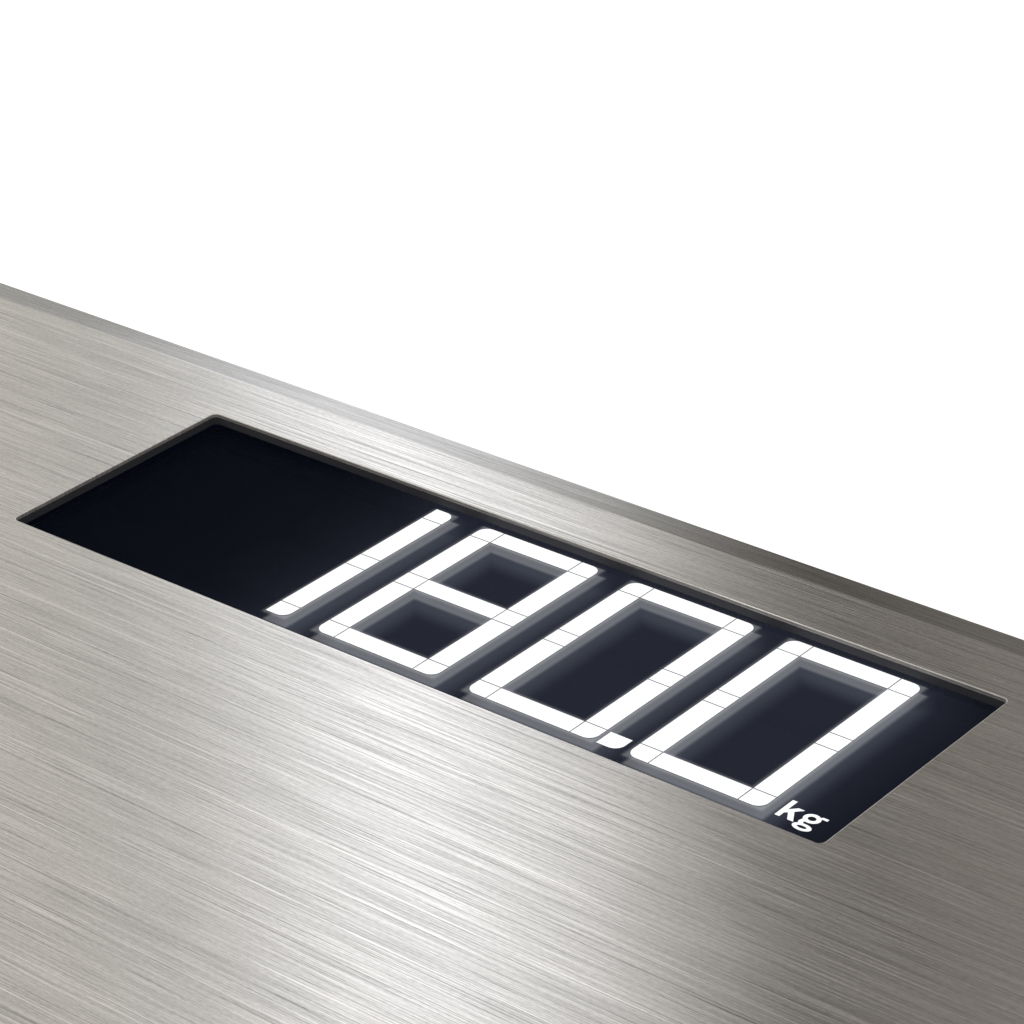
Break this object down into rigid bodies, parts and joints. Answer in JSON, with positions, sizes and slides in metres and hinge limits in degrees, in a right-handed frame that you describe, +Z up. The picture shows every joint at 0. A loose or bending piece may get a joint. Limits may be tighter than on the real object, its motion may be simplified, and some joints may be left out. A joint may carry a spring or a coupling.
{
  "type": "digital bathroom scale",
  "caption": "Flat square bathroom scale with a brushed steel platform, a recessed lit digital display near one edge, load-cell feet and a battery door underneath.",
  "frame": {"origin": "on the floor, under the middle of the platform", "axes": "+Z up, +Y away from the user towards the display's edge, +X to the user's right"},
  "size_m": [0.3, 0.3, 0.022],
  "materials": {
    "brushed_steel": "long-grain brushed stainless steel, satin",
    "black_plastic": "moulded black ABS, fine satin texture",
    "chassis_plastic": "moulded dark grey ABS, spark-eroded texture",
    "carrier_plastic": "moulded grey ABS, satin",
    "adhesive_foam": "double-sided adhesive foam tape, matt",
    "display_glass": "clear display glass with a grey film, gloss",
    "lit_segment": "clear segment, lit white from behind",
    "dark_segment": "unlit segment, as dark as the film behind it",
    "border_seal": "blue-black sealing border between the panes, matt",
    "display_black": "blue-black film and spacer behind the glass, matt",
    "clear_acrylic": "clear acrylic light guide, gloss",
    "tray_white": "white moulded backlight tray, satin",
    "circuit_board": "green solder mask, semi-gloss",
    "led_chip": "LED chip with yellowish phosphor dome",
    "chip_black": "black epoxy chip package, matt",
    "connector_white": "natural nylon connector housing, satin",
    "ribbon_grey": "grey flat ribbon insulation, satin",
    "cable_black": "black PVC cable jacket, satin",
    "lead_red": "red PVC wire insulation, satin",
    "cell_steel": "nickel-plated stamped steel, satin",
    "gauge_coat": "white silicone coating, satin",
    "spring_steel": "zinc-plated spring steel, satin",
    "screw_steel": "zinc-plated steel screw, satin",
    "foot_plastic": "black moulded nylon foot cup, satin",
    "foot_rubber": "dark rubber pad, matt",
    "battery_sleeve": "plain printed battery sleeve with a bright cap, gloss",
    "contact_nickel": "nickel-plated contact strip, bright",
    "button_plastic": "grey moulded button, satin",
    "switch_plastic": "black switch housing, satin",
    "label_film": "plain silver polyester label film with nothing printed, satin"
  },
  "bodies": {
    "root": {"platform_cover": "brushed_steel", "adhesive_strips": "adhesive_foam", "carrier_frame": "carrier_plastic", "base_cover": "chassis_plastic", "base_screws": "screw_steel", "gauge_coats": "gauge_coat", "cell_retainers": "spring_steel", "retainer_screws": "screw_steel", "display_bezel": "black_plastic", "display_gasket": "adhesive_foam", "lcd_front_glass": "display_glass", "lcd_rear_glass": "display_glass", "glass_border": "border_seal", "lcd_pins": "contact_nickel", "rear_polariser": "display_black", "light_guide": "clear_acrylic", "backlight_tray": "tray_white", "backlight_spacer": "display_black", "backlight_leds": "led_chip", "segments_lit": "lit_segment", "segments_unlit": "dark_segment", "decimal_point": "lit_segment", "unit_icon_kg": "lit_segment", "unit_icon_lb": "dark_segment", "display_board": "circuit_board", "display_screws": "screw_steel", "display_driver": "chip_black", "main_board": "circuit_board", "board_screws": "screw_steel", "controller_chips": "chip_black", "ribbon_headers": "connector_white", "display_ribbon": "ribbon_grey", "cell_plugs": "connector_white", "battery_contacts": "contact_nickel", "battery_lead_red": "lead_red", "battery_lead_black": "cable_black", "switch_body": "switch_plastic", "rating_label": "label_film", "load_cell_front_left": "cell_steel", "cell_cable_front_left": "cable_black", "load_cell_front_right": "cell_steel", "cell_cable_front_right": "cable_black", "load_cell_rear_left": "cell_steel", "cell_cable_rear_left": "cable_black", "load_cell_rear_right": "cell_steel", "cell_cable_rear_right": "cable_black", "battery_1": "battery_sleeve", "battery_2": "battery_sleeve", "battery_3": "battery_sleeve"},
    "unit_button": {"unit_button": "button_plastic", "switch_plunger": "button_plastic"},
    "battery_door": {"battery_door": "chassis_plastic"},
    "foot_front_left": {"foot_cup_front_left": "foot_plastic", "foot_pad_front_left": "foot_rubber"},
    "foot_front_right": {"foot_cup_front_right": "foot_plastic", "foot_pad_front_right": "foot_rubber"},
    "foot_rear_left": {"foot_cup_rear_left": "foot_plastic", "foot_pad_rear_left": "foot_rubber"},
    "foot_rear_right": {"foot_cup_rear_right": "foot_plastic", "foot_pad_rear_right": "foot_rubber"}
  },
  "joints": [
    {"name": "foot_front_left_travel", "type": "slide", "parent": "root", "child": "foot_front_left", "axis": [0, 0, 1], "range_m": [0, 0.0005], "stiffness_N_per_m": 883000, "springref_m": -0.00001, "deforming": ["load_cell_front_left"]},
    {"name": "foot_front_right_travel", "type": "slide", "parent": "root", "child": "foot_front_right", "axis": [0, 0, 1], "range_m": [0, 0.0005], "stiffness_N_per_m": 883000, "springref_m": -0.00001, "deforming": ["load_cell_front_right"]},
    {"name": "foot_rear_left_travel", "type": "slide", "parent": "root", "child": "foot_rear_left", "axis": [0, 0, 1], "range_m": [0, 0.0005], "stiffness_N_per_m": 883000, "springref_m": -0.00001, "deforming": ["load_cell_rear_left"]},
    {"name": "foot_rear_right_travel", "type": "slide", "parent": "root", "child": "foot_rear_right", "axis": [0, 0, 1], "range_m": [0, 0.0005], "stiffness_N_per_m": 883000, "springref_m": -0.00001, "deforming": ["load_cell_rear_right"]},
    {"name": "unit_button_press", "type": "slide", "parent": "root", "child": "unit_button", "axis": [0, 0, 1], "range_m": [0, 0.0005], "stiffness_N_per_m": 1500, "springref_m": -0.0006},
    {"name": "battery_door_hinge", "type": "hinge", "parent": "root", "child": "battery_door", "pos_m": [0, 0.0555, 0.0055], "axis": [1, 0, 0], "range_deg": [0, 85]}
  ]
}
